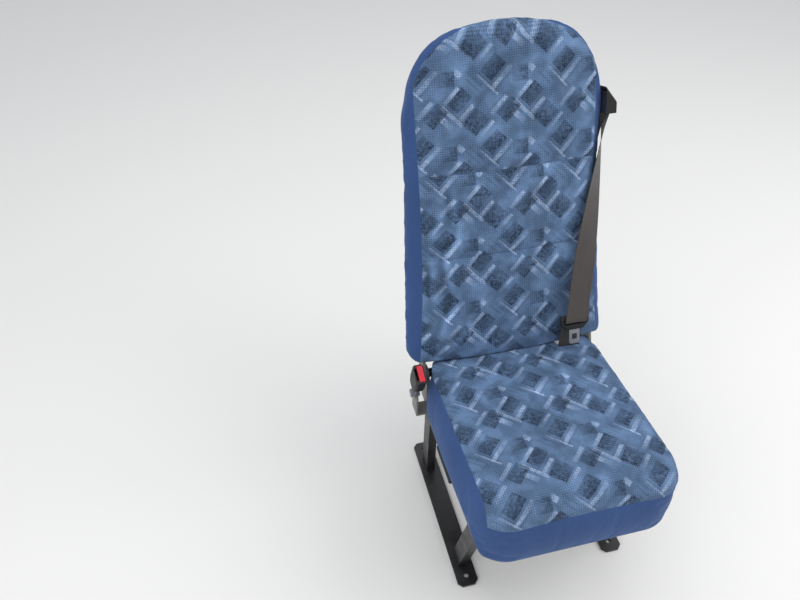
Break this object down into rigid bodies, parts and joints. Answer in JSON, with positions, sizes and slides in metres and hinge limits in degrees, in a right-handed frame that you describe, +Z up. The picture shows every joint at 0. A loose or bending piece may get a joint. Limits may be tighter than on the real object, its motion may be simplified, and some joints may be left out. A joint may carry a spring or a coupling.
{
  "type": "minibus passenger seat with three-point belt",
  "caption": "Upholstered vehicle passenger seat on a steel floor frame, with a reclining high backrest, side belt guide, tongue and pivoting buckle.",
  "frame": {"origin": "on the floor, in the middle of the four floor bolts", "axes": "+Z up, -Y the way the seat faces, +X towards the wall side with the belt guide"},
  "size_m": [0.4595, 0.6548, 1.0353],
  "materials": {
    "seat_cloth": "patterned moquette with plain blue borders",
    "black_enamel": "black enamelled steel tube",
    "grey_enamel": "grey enamelled steel plate",
    "zinc_steel": "bright zinc-plated steel",
    "black_plastic": "black moulded plastic",
    "red_plastic": "red moulded button",
    "belt_webbing": "taupe woven polyester webbing"
  },
  "bodies": {
    "base": {"floor_rail_aisle": "black_enamel", "floor_rail_wall": "black_enamel", "leg_front_aisle": "black_enamel", "leg_front_wall": "black_enamel", "leg_rear_aisle": "black_enamel", "leg_rear_wall": "black_enamel", "side_rail_aisle": "black_enamel", "side_rail_wall": "black_enamel", "cross_tube_front": "black_enamel", "cross_tube_rear": "black_enamel", "cushion_pan": "black_enamel", "seat_cushion": "seat_cloth", "hinge_plate_aisle": "grey_enamel", "hinge_plate_wall": "grey_enamel", "recliner_lever": "black_enamel", "lever_grip": "black_plastic", "buckle_bracket": "grey_enamel", "buckle_bolt": "zinc_steel", "retractor_arm": "black_enamel", "retractor_frame": "zinc_steel", "retractor_spool": "belt_webbing", "anchor_tab": "black_enamel", "anchor_plate": "zinc_steel", "anchor_bolt": "zinc_steel", "webbing_lap": "belt_webbing", "tongue_plate": "zinc_steel", "tongue_cover": "black_plastic"},
    "backrest": {"backrest_cushion": "seat_cloth", "back_arm_aisle": "grey_enamel", "back_arm_wall": "grey_enamel", "cross_shaft": "black_enamel", "pivot_bolt_aisle": "zinc_steel", "pivot_bolt_wall": "zinc_steel", "guide_plate": "zinc_steel", "guide_bar": "zinc_steel", "guide_bolt": "zinc_steel", "guide_hood": "black_plastic", "webbing_rear": "belt_webbing", "webbing_shoulder": "belt_webbing"},
    "buckle": {"buckle_strap": "zinc_steel", "buckle_body": "black_plastic", "buckle_button": "red_plastic"}
  },
  "joints": [
    {"name": "recline", "type": "hinge", "parent": "base", "child": "backrest", "pos_m": [0, 0.13, 0.346], "axis": [-1, 0, 0], "range_deg": [0, 15], "deforming": ["webbing_shoulder", "webbing_rear"]},
    {"name": "buckle_pivot", "type": "hinge", "parent": "base", "child": "buckle", "pos_m": [-0.2205, 0.102, 0.322], "axis": [1, 0, 0], "range_deg": [-12, 30]}
  ]
}
